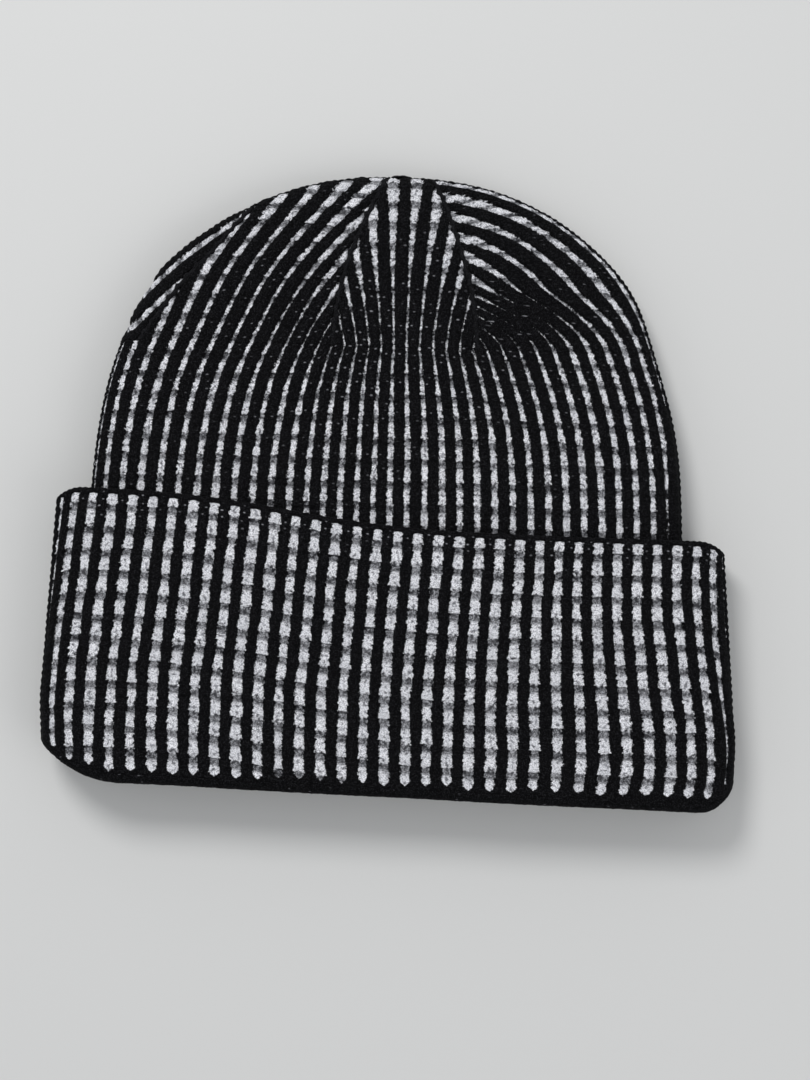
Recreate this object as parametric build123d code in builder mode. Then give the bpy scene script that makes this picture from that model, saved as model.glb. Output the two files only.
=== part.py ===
from build123d import *
import os
from math import atan, cos, pi, sin, tanh

# A ribbed knit beanie with a turned-up cuff, lying flat on its back.
# +X runs across the hat, +Y from the rim to the top of the crown, +Z up from the surface it lies on.

# Driving dimensions, mm
fabric = 3.2  # one layer of the rib knit
layer_gap = 0.35  # between the turn-up and the band it is folded over
hat_length = 204.8  # rim to crown
cuff_rim_width = 226.0
cuff_top_width = 216.0
cuff_thickness = 26.0
cuff_side_rounding = 12.4
cuff_corner_radius = 11.0
rim_bow = 6.4  # how far the middle of the rim hangs below its ends
body_width = 194.0
band_rim_width = 210.0
body_rounding = 8.8
crown_roundness = 2.3  # exponent of the crown's superellipse
fold_depth = 9.0  # length of the rim where the fabric turns back on itself
welt_depth = 4.0  # the firm first rows at the free edge of the cuff
seam_width = 1.8
back_seam_x = -2.5
closure_radius = 3.0

# The cuff was turned up by hand, so its free edge is higher on the left than on the right.
cuff_edge_mean_y = -9.2
cuff_edge_swing = 5.8
cuff_edge_turn_x = -31.5
cuff_edge_turn_length = 38.0

# The darts in the body's own frame, with y measured from the line where the body leaves the cuff.
dart_base = 61.0
middle_gore_x = 3.8  # the middle gore sits a little to the right, and its back twin to the left
middle_gore_half = 23.5
dart_bend_at = 0.25  # share of its length where a middle dart has narrowed its gore to dart_bend_width
dart_bend_width = 0.76
dart_top_width = 0.2  # the same share at the dart's upper end
side_dart_base_x = -82.0
side_dart_top_x = -38.0
shoulder_x = -51.0  # the side dart crosses the edge of the flattened crown here

# Levels and lines worked out from them
rim_y = -hat_length / 2
crown_y = hat_length / 2
hinge_y = -16.0  # here the body comes out of the cuff and starts to sag
body_lift = fabric + layer_gap + 0.15
body_thickness = cuff_thickness - 2 * body_lift
crown_height = crown_y - hinge_y
side_length = 3.5  # straight side of the body before the crown rounds over
sag = atan(body_lift / crown_height)
body_plane = Plane(origin=(0, hinge_y, body_lift), x_dir=(1, 0, 0), z_dir=(0, sin(sag), cos(sag)))
front_plane = body_plane.offset(body_thickness / 2)
back_plane = Plane(front_plane.origin, x_dir=-front_plane.x_dir, z_dir=-front_plane.z_dir)
reach = 150.0  # longer than any half of the hat, for the cutting blocks
dart_end_y = crown_height + 6.0  # darts are drawn on past the crown, so that they cut right through it
cut_side = cuff_rim_width / 2 + 2


def tapered_tube(stations, base, thickness, rounding, inset):
    """A closed flat tube between two stations of (y, width), inset on every side of its section."""
    (low_y, low_width), (high_y, high_width) = stations
    low = low_width / 2 - inset
    high = high_width / 2 - inset
    with BuildPart() as tube:
        with BuildSketch(Plane.XY.offset(base + inset)):
            with BuildLine():
                Polyline((-low, low_y), (low, low_y), (high, high_y), (-high, high_y), close=True)
            make_face()
        extrude(amount=thickness - 2 * inset)
        side_edges = tube.edges().filter_by(lambda edge: abs(edge.tangent_at(0.5).Y) > 0.9)
        fillet(side_edges, radius=rounding - inset)
    return tube.part


def cuff_form(inset):
    """The outside of the cuff, run on past both of its ends."""
    flare = (cuff_rim_width - cuff_top_width) / (cuff_edge_mean_y - rim_y)
    stations = [(y, cuff_top_width + flare * (cuff_edge_mean_y - y)) for y in (rim_y - 10, 10)]
    return tapered_tube(stations, 0, cuff_thickness, cuff_side_rounding, inset)


def band_form(inset):
    """The outside of the body's end that the cuff hides, run on past the rim."""
    flare = (band_rim_width - body_width) / (hinge_y - rim_y)
    stations = [(y, body_width + flare * (hinge_y - y)) for y in (rim_y - 10, hinge_y)]
    return tapered_tube(stations, body_lift, body_thickness, body_rounding, inset)


def body_form(inset):
    """The body above the cuff with its crown, closed at the top and run on below the hinge line."""
    half_width = body_width / 2 - inset
    rise = crown_height - side_length - inset
    steps = 24
    low = -20.0
    crown = []
    for i in range(steps + 1):
        across = cos(pi * i / steps)
        side = 1 if across > 0 else -1
        x = side * half_width * abs(across) ** (2 / crown_roundness)
        crown.append((x, side_length + rise * abs(sin(pi * i / steps)) ** (2 / crown_roundness)))
    with BuildPart() as body:
        with BuildSketch(body_plane.offset(inset)):
            with BuildLine():
                Spline(crown, tangents=((0, 1), (0, -1)))
                Polyline(crown[-1], (-half_width, low), (half_width, low), crown[0])
            make_face()
        extrude(amount=body_thickness - 2 * inset)
        faces = body.faces().sort_by(Axis.Z)
        fillet(faces[0].edges() + faces[-1].edges(), radius=body_rounding - inset)
    return body.part


def above_rim(distance, corner_radius=0):
    """Block of everything further up the hat than a line at that distance from the rim."""
    with BuildPart() as block:
        with BuildSketch(Plane.XY.offset(-reach)):
            with BuildLine():
                start = (-cut_side, rim_y + rim_bow + distance)
                end = (cut_side, rim_y + rim_bow + distance)
                ThreePointArc(start, (0, rim_y + distance), end)
                Polyline(end, (cut_side, reach), (-cut_side, reach), start)
            face = make_face()
            if corner_radius:
                fillet(face.vertices().group_by(Axis.Y)[0], radius=corner_radius)
        extrude(amount=2 * reach)
    return block.part


def below_edge(distance):
    """Block of everything further down the hat than a line at that distance from the cuff's edge."""
    with BuildPart() as block:
        with BuildSketch(Plane.XY.offset(-reach)):
            with BuildLine():
                edge = []
                for x in (-cut_side, -80, -55, -30, -5, 20, 50, cut_side):
                    turn = tanh((x - cuff_edge_turn_x) / cuff_edge_turn_length)
                    edge.append((x, cuff_edge_mean_y - cuff_edge_swing * turn - distance))
                Spline(edge)
                Polyline(edge[-1], (cut_side, -reach), (-cut_side, -reach), edge[0])
            make_face()
        extrude(amount=2 * reach)
    return block.part


def body_stretch(low, high):
    """Block across the body between two heights above the hinge line, in the body's own frame."""
    with BuildPart() as block:
        with BuildSketch(body_plane.offset(-reach)):
            with Locations((0, (low + high) / 2)):
                Rectangle(2 * reach, high - low)
        extrude(amount=2 * reach)
    return block.part


def middle_dart(side):
    """Line of the dart on one side of the middle gore."""
    return ThreePointArc(
        (middle_gore_x + side * middle_gore_half, dart_base),
        (middle_gore_x / 2 + side * middle_gore_half * dart_bend_width, dart_base + dart_end_y * dart_bend_at),
        (side * middle_gore_half * dart_top_width, dart_end_y),
    )


def side_dart(side):
    """Line of the dart that runs up to the shoulder and over it."""
    return Line((side_dart_base_x, dart_base), (side_dart_top_x, dart_end_y))


def outside_of(dart, side, plane):
    """Block of one face of the hat, from a dart out to the side."""
    with BuildPart() as block:
        with BuildSketch(plane):
            with BuildLine():
                line = dart(side)
                Polyline(line @ 1, (side * reach, dart_end_y), (side * reach, dart_base), line @ 0)
            make_face()
        extrude(amount=reach)
    return block.part


def wall_along(dart, side, plane):
    """The narrow upright wall that a dart's seam fills, through one face of the hat."""
    with BuildPart() as wall:
        with BuildSketch(plane):
            with BuildLine():
                dart(side)
            trace(line_width=seam_width)
        extrude(amount=reach)
    return wall.part


def wall_over_shoulder(plane):
    """The side dart's seam after it crosses the shoulder, along the edge of the flattened crown."""
    with BuildPart() as wall:
        with BuildSketch(plane.offset(-seam_width / 2)):
            with Locations((shoulder_x / 2, crown_height)):
                Rectangle(-shoulder_x, crown_height / 2)
        extrude(amount=seam_width)
    return wall.part


def minus(solid, *tools):
    """The solid with every tool cut away."""
    with BuildPart() as rest:
        add(solid)
        for tool in tools:
            add(tool, mode=Mode.SUBTRACT)
    return rest.part


def shared(solid, *tools):
    """What the solid shares with every tool."""
    with BuildPart() as rest:
        add(solid)
        for tool in tools:
            add(tool, mode=Mode.INTERSECT)
    return rest.part


def joined(*solids):
    """Solids that touch, made one."""
    with BuildPart() as whole:
        for solid in solids:
            add(solid)
    return whole.part


pieces = {}

# The back seam closes the panel into a tube through every layer on the back face.
with BuildPart() as back_seam:
    with BuildSketch(Plane.XY.offset(-fabric)):
        with Locations((back_seam_x, 0)):
            Rectangle(seam_width, 2 * reach)
    extrude(amount=fabric + cuff_thickness / 2)

# Cuff: the turned-up layer, its firm free edge, and the rim where the fabric turns back on itself.
upper = above_rim(fold_depth)
cuff_layer = shared(minus(cuff_form(0), cuff_form(fabric)), upper, below_edge(0))
turned_up = shared(cuff_layer, below_edge(welt_depth))
welt = minus(cuff_layer, below_edge(welt_depth))
rim_ring = shared(minus(cuff_form(0), band_form(fabric), upper), above_rim(0, cuff_corner_radius))
band = shared(minus(band_form(0), band_form(fabric)), upper)
pieces["cuff_turn_up"] = minus(turned_up, back_seam.part)
pieces["cuff_edge_welt"] = minus(welt, back_seam.part)
pieces["cuff_rim_fold"] = rim_ring
pieces["inner_band"] = minus(band, back_seam.part)
pieces["back_seam_cuff"] = shared(joined(turned_up, welt), back_seam.part)
pieces["back_seam_band"] = shared(band, back_seam.part)

# Body: a plain tube up to the darts.
body_shell = minus(body_form(0), body_form(fabric))
tube = shared(body_shell, body_stretch(0, dart_base))
crown = shared(body_shell, body_stretch(dart_base, reach))
pieces["body_tube"] = minus(tube, back_seam.part)

# Crown: the last stitches drawn together at the very top, in the edge of the flattened crown.
closure_start = body_plane.from_local_coords(Vector(0, crown_height - 2 * fabric, body_thickness / 2))
with BuildPart(Plane(closure_start, x_dir=(1, 0, 0), z_dir=body_plane.y_dir)) as closure_block:
    Cylinder(closure_radius, 3 * fabric, align=(Align.CENTER, Align.CENTER, Align.MIN))
closure = shared(crown, closure_block.part)
pieces["crown_closure"] = closure

# Crown: six gores with a dart seam between each pair. Each face shows its middle gore, the whole of
# one side gore and, past the side dart, the edge of the gore that wraps round from the other face.
faces = {}
for face, plane in (("front", front_plane), ("back", back_plane)):
    with BuildPart() as half_space:
        with BuildSketch(plane):
            Rectangle(2 * reach, 2 * reach)
        extrude(amount=reach)
    half = shared(crown, half_space.part)
    left = outside_of(middle_dart, -1, plane)
    right = outside_of(middle_dart, 1, plane)
    beyond = outside_of(side_dart, -1, plane)
    faces[face] = {
        "middle": minus(half, left, right),
        "left": minus(shared(half, left), beyond),
        "right": shared(half, right),
        "beyond": shared(half, beyond),
        "left_dart": shared(half, wall_along(middle_dart, -1, plane)),
        "right_dart": shared(half, wall_along(middle_dart, 1, plane)),
        "side_dart": shared(half, wall_along(side_dart, -1, plane)),
        "shoulder": shared(crown, wall_over_shoulder(plane)),
    }
front, back = faces["front"], faces["back"]
side_seams = {
    "left": joined(front["side_dart"], front["shoulder"]),
    "right": joined(back["side_dart"], back["shoulder"]),
}
dart_seams = {
    "front_left": front["left_dart"],
    "front_right": front["right_dart"],
    "back_left": back["right_dart"],
    "back_right": back["left_dart"],
}
for name, seam in dart_seams.items():
    dart_seams[name] = minus(seam, closure, *side_seams.values())
for side, seam in side_seams.items():
    dart_seams["side_" + side] = minus(seam, closure)
cuts = [closure, *dart_seams.values()]
gores = {
    "front": front["middle"],
    "front_left": front["left"],
    "front_right": joined(front["right"], back["beyond"]),
    "back_left": joined(back["right"], front["beyond"]),
    "back_right": back["left"],
}
for name, gore in gores.items():
    pieces["gore_" + name] = minus(gore, *cuts)
for name, seam in dart_seams.items():
    pieces["dart_seam_" + name] = seam

# The back seam runs on up the middle of the back gore and parts it in two.
back_gore = minus(back["middle"], *cuts)
back_halves = minus(back_gore, back_seam.part).solids().sort_by(Axis.X)
pieces["gore_back_left_half"] = back_halves[0]
pieces["gore_back_right_half"] = back_halves[-1]
pieces["back_seam_body"] = joined(shared(tube, back_seam.part), shared(back_gore, back_seam.part))

os.makedirs("parts", exist_ok=True)
for name, solid in pieces.items():
    solid.label = name
    export_step(solid, f"parts/{name}.step")
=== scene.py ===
from math import asin, atan, cos, pi, radians, sin

import bpy
import numpy as np
from mathutils import Matrix, Vector


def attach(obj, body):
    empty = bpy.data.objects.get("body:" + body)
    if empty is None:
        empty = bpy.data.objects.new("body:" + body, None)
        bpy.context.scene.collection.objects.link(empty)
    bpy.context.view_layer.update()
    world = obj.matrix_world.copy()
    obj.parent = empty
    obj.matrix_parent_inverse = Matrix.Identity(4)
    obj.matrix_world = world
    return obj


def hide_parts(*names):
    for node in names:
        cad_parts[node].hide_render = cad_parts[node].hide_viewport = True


# A ribbed knit beanie with a turned-up cuff, lying on its back. Metres in Blender, millimetres in the
# shape functions: +X across the hat, +Y from the rim to the crown, +Z up from the floor.

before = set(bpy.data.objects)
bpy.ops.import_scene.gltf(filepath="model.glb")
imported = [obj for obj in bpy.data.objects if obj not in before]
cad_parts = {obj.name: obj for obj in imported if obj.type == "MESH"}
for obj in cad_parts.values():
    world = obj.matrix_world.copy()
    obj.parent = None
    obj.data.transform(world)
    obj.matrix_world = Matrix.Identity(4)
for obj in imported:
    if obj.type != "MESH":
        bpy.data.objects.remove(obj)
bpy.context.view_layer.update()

MM = 0.001
SEED = 7

# ---------------------------------------------------------------- sizes, mm
FABRIC = 3.0  # thickness of one layer of the rib knit
SMOOTH_LEVEL = 1.25  # height of the closed-up knit where it rolls or folds, above its creases
ROW = 2.35  # height of one knitted row
CUFF_PITCH = 7.0  # from rib to rib in the cuff
SAMPLES = 12  # points across one rib
ROWS_PER_BEAD = 3  # two light rows and one dark row
LIGHT_ROWS = 2
RIBS = 70  # black ribs round the hat
HALF_RIBS = RIBS / 2
FOLD_RIGHT, FOLD_LEFT = 17, 18  # ribs from the front's middle rib to each side fold
CORE_X = 32.0  # the ribs are evenly spaced this far from the middle rib
CORE_RIGHT, CORE_LEFT = 5.5, 6.0  # ribs in that stretch
CORE_END = 74.0  # height up to which those ribs are counted evenly
CORE_TOP = 78.5  # height at which they would meet if they ran on

RIM_Y = -102.4
CROWN_Y = 102.4
HINGE_Y = -16.0
CUFF_RIM_HALF = 114.0
CUFF_TOP_HALF = 108.5
CUFF_RIM_SHIFT = 1.4  # the rim lies further right than the free edge
CUFF_THICK = 26.0
BODY_HALF = 97.0
BODY_THICK = 18.6
BODY_SAG = 3.7
CROWN_BASE_Y = 45.0  # the darts start here
BODY_BASE_Y = -12.5  # heights in the crown's superellipse are measured from here
CROWN_RISE = 115.0
CROWN_POWER = 2.3
EDGE_POWER = 16.0  # how late the flat crown turns down to its edge
BASE_H = CROWN_BASE_Y - BODY_BASE_Y
RIB_SHIFT = 3.8  # the middle rib lies this far right of the middle
DART_SHIFT = 1.6  # and the middle darts lie this much further right
MIDDLE_DRIFT = 2.6  # the middle gore drifts this far left on its way to the top
MIDDLE_RISE = 56.4  # height of the middle gore along its middle rib
DART_FOOT_HALF = 23.5  # half the middle gore's width at the darts' feet
DART_CLOSING = 16.0  # how much narrower that half is at the top

SIDE_DART = ((-81.8, 45.0), (-71.5, 58.5), (-59.0, 73.5), (-47.5, 92.0))  # x and y on the front face

SEAM_WIDTH, SEAM_HEIGHT = 1.9, 1.4
DART_SUNK = 0.9  # the dart seams lie this far under the tops of the ribs
BACK_SEAM_SUNK = 0.35

BLACK_RELIEF = 1.5
GREY_RELIEF = 0.95
STITCH_RELIEF = 0.34
GREY_STITCH_RELIEF = 0.30
OPEN_SHARE = 0.335  # share of the rib repeat that is grey where the body isn't drawn together
CLOSED_SHARE = -0.25  # below 0 where the black ribs close up over the grey
WIDEST_SHARE = 0.47
BEAD_FLARE = 0.14  # how much wider a bead is at its bottom than at its top
STITCH_FLARE = 0.12  # and the same for each of its rows
RAGGED = 0.26  # how much the width changes from row to row


# ---------------------------------------------------------------- small helpers
HASH_WEIGHTS = (127.1, 311.7)
HASH_SCALE = 43758.5453
WAVE_TURN = 2.4  # angle from each crossing wave of a ripple to the next
WAVE_STEP = 0.37  # how much shorter each is than the one before


def smooth(x, low, high):
    """Smooth step from 0 at low to 1 at high."""
    t = np.clip((x - low) / (high - low), 0, 1)
    return t * t * (3 - 2 * t)


def hashed(*numbers):
    """A repeatable random number from 0 to 1 for each set of whole numbers."""
    total = np.zeros(np.broadcast(*numbers).shape)
    for number, weight in zip(numbers, HASH_WEIGHTS):
        total = total + np.asarray(number) * weight
    value = np.sin(total + SEED) * HASH_SCALE
    return value - np.floor(value)


def ripple(x, y, scale, seed):
    """A soft repeatable noise from -1 to 1, made of a few crossing waves."""
    total = 0
    waves = 5
    for i in range(waves):
        angle = WAVE_TURN * i + seed
        wave = (x * np.cos(angle) + y * np.sin(angle)) * (1 + WAVE_STEP * i) / scale
        total = total + np.sin(wave * 2 * pi + 1.7 * i * seed)
    return total / waves


def spot(x, y, centre, reach):
    """1 at the centre of a soft oval spot, fading to 0 around it."""
    return np.exp(-(((x - centre[0]) / reach[0]) ** 2) - ((y - centre[1]) / reach[1]) ** 2)


# ---------------------------------------------------------------- the knit
HALVINGS = 30  # steps of each search by halving
ROW_POWER = 1.535  # roundness of the knitted rows in the side gores


def rib_family(x, h):
    """The curve of the crown's family through a point, named by where it starts at height 0."""
    x = np.abs(x)
    low = np.full(np.shape(x), CORE_X)
    high = np.full(np.shape(x), BODY_HALF)
    for _ in range(HALVINGS):
        a = (low + high) / 2
        top = CORE_TOP + (CROWN_RISE - CORE_TOP) * ((a - CORE_X) / (BODY_HALF - CORE_X)) ** 1.4
        outside = (x / a) ** CROWN_POWER + (np.maximum(h, 0) / top) ** CROWN_POWER > 1
        low = np.where(outside, a, low)
        high = np.where(outside, high, a)
    return (low + high) / 2


def share_of_family(a):
    """How far the curve that starts at a lies from the core to the fold, along the curved section."""
    across = BODY_HALF * np.sin(np.linspace(0, pi / 2, 600))
    depth = BODY_THICK / 2 * np.sqrt(1 - (across / BODY_HALF) ** EDGE_POWER)
    along = np.concatenate([[0], np.cumsum(np.hypot(np.diff(across), np.diff(depth)))])
    start = np.interp(CORE_X, across, along)
    return (np.interp(a, across, along) - start) / (along[-1] - start)


def side_ribs(x, h):
    """Rib count and row length of the tube and the side gores, at a point of one face."""
    a = rib_family(x, h)
    core = np.where(x < 0, CORE_LEFT, CORE_RIGHT)
    fold = np.where(x < 0, FOLD_LEFT, FOLD_RIGHT)
    narrowed = np.maximum(1 - (np.clip(h, 0, CORE_TOP) / CORE_TOP) ** CROWN_POWER, 0.05) ** (1 / CROWN_POWER)
    pitch = CORE_X * narrowed / core
    middle = (np.abs(x) / pitch < core) & (h < CORE_END)
    ribs = np.where(middle, np.abs(x) / pitch, core + (fold - core) * share_of_family(a))
    rise = np.maximum(h, 0)
    length = (rise**ROW_POWER + np.maximum(a - np.abs(x), 0) ** ROW_POWER) ** (1 / ROW_POWER)
    length = np.where(middle | (h < 0), h, length)
    return np.sign(x) * ribs, length


def left_gore_ribs(x, y):
    """Rib count and row length in the gore left of the middle, whose ribs lean to its right.

    A rib is found by where it starts at the gore's base, left of the middle; those that would start past the
    fold lie closed_pitch apart.
    """
    lean = 0.42  # mm to the right for each mm up
    most_bend = 0.5
    bend_from, bend_to = 20.0, 88.0  # ribs that start further out bend less
    gore_rise = 56.0
    closed_pitch = 6.0
    x = shifted(x, y)
    rise = np.maximum(y - CROWN_BASE_Y, 0)
    low = np.full(np.shape(x), 0.0)
    high = np.full(np.shape(x), 170.0)
    for _ in range(HALVINGS):
        start = (low + high) / 2
        bend = most_bend * np.clip(1 - (start - bend_from) / (bend_to - bend_from), 0, 1.2) ** 1.5
        here = start - lean * rise - bend * rise**2 / gore_rise
        low = np.where(here < -x, start, low)
        high = np.where(here < -x, high, start)
    start = (low + high) / 2
    inside = np.minimum(start, BODY_HALF)
    ribs, length = side_ribs(-inside, np.full(np.shape(x), BASE_H))
    return ribs - (start - inside) / closed_pitch, length + np.sqrt(rise**2 + (start + x) ** 2)


def beyond_dart_ribs(x, y):
    """Rib count and row length past the side dart, where the ribs mirror the gore inside it."""
    foot = np.array(SIDE_DART[0])
    ahead = np.array(SIDE_DART[-1]) - foot
    ahead = ahead / np.hypot(*ahead)
    out = (x - foot[0]) * -ahead[1] + (y - foot[1]) * ahead[0]
    return left_gore_ribs(x + 2 * out * ahead[1], y - 2 * out * ahead[0])


def middle_gore_ribs(x, y):
    """Rib count and row length in the middle gore, whose ribs spread towards the top."""
    rise = np.maximum(y - CROWN_BASE_Y, 0)
    base_pitch, more_at_top, less_at_left = 4.34, 3.16, 0.36
    middle = RIB_SHIFT - MIDDLE_DRIFT * rise / MIDDLE_RISE
    pitch = base_pitch + more_at_top * (rise / 51) ** 1.5 - less_at_left * (x < middle) * np.exp(-rise / 18)
    return (x - middle) / pitch, BASE_H + rise


def dart_x(side, y):
    """The dart on one side of the middle gore."""
    share = np.clip((y - CROWN_BASE_Y) / (CROWN_Y - CROWN_BASE_Y), 0, 1)
    return RIB_SHIFT + DART_SHIFT - MIDDLE_DRIFT * share + side * (DART_FOOT_HALF - DART_CLOSING * share**1.6)


def left_dart_x(y):
    return dart_x(-1, y)


def right_dart_x(y):
    return dart_x(1, y)


def back_seam_x(y):
    """The back seam in the crown, up the middle rib of the back's middle gore."""
    return RIB_SHIFT - MIDDLE_DRIFT * np.clip((y - CROWN_BASE_Y) / MIDDLE_RISE, 0, 1)


def side_dart_x(y):
    """The dart near the left fold, up to where it crosses the edge of the crown."""
    return np.interp(y, *zip(*[(dart_y, x) for x, dart_y in SIDE_DART]))


def grey_share(x, y):
    """How much of each rib repeat the grey column takes: least where the crown draws the ribs together."""
    tight = 0.225 * np.exp(-(((x - 3) / np.where(x < 3, 64, 54)) ** 4) - ((y - 55) / 27) ** 2)
    crease_right = 0.34 * spot(x, y, (43, 56), (18, 9))
    crease_left = 0.09 * spot(x, y, (-22, 48), (13, 10))
    right_fold = 0.6 * smooth(x, 91, 93.5)
    fuller_top = 0.11 * smooth(y, 80, 98)
    uneven = 0.02 * ripple(x, y, 23.0, 8.0)
    share = OPEN_SHARE - tight - (crease_right + crease_left + right_fold) + fuller_top + uneven
    return np.maximum(share, CLOSED_SHARE)


def fleck_strength(x, y):
    """How much grey shows between the stitches of the black ribs."""
    return 0.12 + 0.36 * spot(x, y, (3, 50), (60, 30))


def by_dart(x, y, dart):
    """1 beside a dart and fading away from it, above the dart's closed-up foot."""
    return np.exp(-(((x - dart) / 8.5) ** 2)) * smooth(y, 50, 66)


def grey_half_width(knit, share):
    """Half the grey column's width, as a share of the rib repeat: each bead widens downwards."""
    ribs, rows = knit
    column = np.floor(ribs) + 0.5
    row = np.floor(rows)
    bead_place = np.clip(np.mod(rows, ROWS_PER_BEAD) / LIGHT_ROWS, 0, 1)
    flare = BEAD_FLARE * (0.5 - bead_place) + STITCH_FLARE * (0.5 - (rows - row))
    return share / 2 * (1 + flare + RAGGED * (hashed(column, row) - 0.5))


def relief(knit, share, pitch):
    """Height of the knit above its creases, mm."""
    ribs, rows = knit
    groove_reach, groove_depth = 0.35, 0.16  # between the two halves of a black rib's stitches
    full_grey = 1.2  # half the width of a grey column that rises to its full height
    off_rib = np.abs(ribs - np.round(ribs))
    half_grey = grey_half_width(knit, share)
    off_grey = 0.5 - off_rib
    across = np.clip(off_rib / np.maximum(0.5 - half_grey, 0.05), 0, 1)
    black = BLACK_RELIEF * np.sqrt(np.maximum(1 - across**2.4, 0))
    stitch = 0.5 - 0.5 * np.cos(2 * pi * (rows + 0.45 * across))
    groove = groove_depth * np.exp(-((off_rib * pitch / groove_reach) ** 2))
    black = black - STITCH_RELIEF * (1 - stitch) * (1 - across**4) - groove
    grey_across = np.clip(off_grey / np.maximum(half_grey, 0.02), 0, 1)
    rise = np.minimum(1, half_grey * pitch / full_grey)
    grey = GREY_RELIEF * rise * np.sqrt(np.maximum(1 - grey_across**2.2, 0))
    loop = 0.5 - 0.5 * np.cos(2 * pi * (rows - 0.35 * grey_across))
    in_gap = smooth(np.mod(rows, ROWS_PER_BEAD), LIGHT_ROWS - 0.1, LIGHT_ROWS + 0.2)
    grey = grey - GREY_STITCH_RELIEF * rise * (1 - loop) - GREY_STITCH_RELIEF * rise * in_gap
    return np.where(half_grey > off_grey, grey, black)


# ---------------------------------------------------------------- surfaces
def resampled(points, places, wanted):
    """Each row of dense points, read again at the wanted places along it."""
    out = np.empty(wanted.shape + (3,))
    for i in range(len(points)):
        for axis in range(3):
            out[i, :, axis] = np.interp(wanted[i], places[i], points[i, :, axis])
    return out


def middle_level(y):
    """Height of the body's mid surface: it sags from the cuff to the crown."""
    return CUFF_THICK / 2 - BODY_SAG * (np.asarray(y) - HINGE_Y) / (CROWN_Y - HINGE_Y)


def outline_half(h, least=0.0):
    """Half the width of the body's flat outline; least keeps it from closing up at the very top."""
    left_over = np.maximum(1 - (np.maximum(h, 0) / CROWN_RISE) ** CROWN_POWER, least)
    return BODY_HALF * left_over ** (1 / CROWN_POWER)


def body_point(x, h, front):
    """A point of the body's outside. front is 1 on the upper face and -1 on the lower."""
    y = h + BODY_BASE_Y
    e = (np.abs(x) / BODY_HALF) ** CROWN_POWER + (np.maximum(h, 0) / CROWN_RISE) ** CROWN_POWER
    e = np.clip(e, 0, 1) ** (1 / CROWN_POWER)
    half_thick = BODY_THICK / 2 * np.sqrt(np.maximum(1 - e**EDGE_POWER, 0))
    dip = 1.6 * spot(x, y, (0, 52), (62, 17)) + 0.9 * (x / BODY_HALF) ** 2
    half_thick = half_thick - np.minimum(dip, half_thick * 0.4)
    wave = 0.35 * ripple(x, y, 70.0, 3.1)
    return np.stack([x, y, middle_level(y) + front * (half_thick + wave * smooth(half_thick, 2, 8))], axis=-1)


def ring(h, count=1601):
    """Dense points of the body's whole section at each height, from the back's middle round the left."""
    angle = np.linspace(-pi, pi, count)[None, :]
    x = outline_half(h)[:, None] * np.sin(angle)
    front = np.where(np.abs(angle) <= pi / 2, 1.0, -1.0)
    heights = np.broadcast_to(h[:, None], x.shape)
    return body_point(x, heights, front), np.broadcast_to(angle, x.shape)


def along(points):
    """Distance along each row of points."""
    steps = np.linalg.norm(np.diff(points, axis=1), axis=2)
    return np.concatenate([np.zeros((len(points), 1)), np.cumsum(steps, axis=1)], axis=1)


def shifted(x, y):
    """x measured from the middle rib, which is off centre except at the folds."""
    return x - RIB_SHIFT * np.maximum(1 - (x / outline_half(y - BODY_BASE_Y, 1e-4)) ** 2, 0)


def normals_of(grid, closed):
    """Outward unit normals of a grid whose columns run left to right as seen from outside."""
    along_rows = np.gradient(grid, axis=0)
    if closed:
        across = (np.roll(grid, -1, axis=1) - np.roll(grid, 1, axis=1)) / 2
    else:
        across = np.gradient(grid, axis=1)
    normal = np.cross(across, along_rows)
    return normal / np.maximum(np.linalg.norm(normal, axis=2, keepdims=True), 1e-9)


# ---------------------------------------------------------------- meshes
INSIDE_STEP = 4  # the inside has one point for this many outside
SIDE_SINK = 0.7
SIDE_SINK_REACH = 0.8


def quads_of(rows, columns, first, closed, flip):
    """Corner numbers of a grid's faces."""
    i, j = np.meshgrid(np.arange(rows - 1), np.arange(columns if closed else columns - 1), indexing="ij")
    k = (j + 1) % columns
    corners = np.stack([i * columns + j, i * columns + k, (i + 1) * columns + k, (i + 1) * columns + j], -1)
    corners = corners.reshape(-1, 4) + first
    return corners[:, ::-1] if flip else corners


def make_mesh(name, vertices, polygons, attributes, material):
    """A mesh object from vertices in mm, polygons as lists of equal-sided arrays, and float attributes."""
    mesh = bpy.data.meshes.new(name)
    loops = np.concatenate([p.ravel() for p in polygons]).astype(np.int32)
    sizes = np.concatenate([np.full(len(p), p.shape[1]) for p in polygons]).astype(np.int32)
    starts = np.concatenate([[0], np.cumsum(sizes)[:-1]]).astype(np.int32)
    mesh.vertices.add(len(vertices))
    mesh.vertices.foreach_set("co", (vertices * MM).astype(np.float32).ravel())
    mesh.loops.add(len(loops))
    mesh.loops.foreach_set("vertex_index", loops)
    mesh.polygons.add(len(sizes))
    mesh.polygons.foreach_set("loop_start", starts)
    mesh.polygons.foreach_set("loop_total", sizes)
    mesh.update(calc_edges=True)
    mesh.validate()
    mesh.polygons.foreach_set("use_smooth", np.ones(len(mesh.polygons), dtype=bool))
    for key, values in attributes.items():
        if values.ndim == 2:
            layer = mesh.attributes.new(key, "FLOAT_VECTOR", "POINT")
            layer.data.foreach_set("vector", values.astype(np.float32).ravel())
        else:
            layer = mesh.attributes.new(key, "FLOAT", "POINT")
            layer.data.foreach_set("value", values.astype(np.float32).ravel())
    mesh.materials.append(material)
    obj = bpy.data.objects.new(name, mesh)
    bpy.context.scene.collection.objects.link(obj)
    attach(obj, "root")
    return obj


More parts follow.
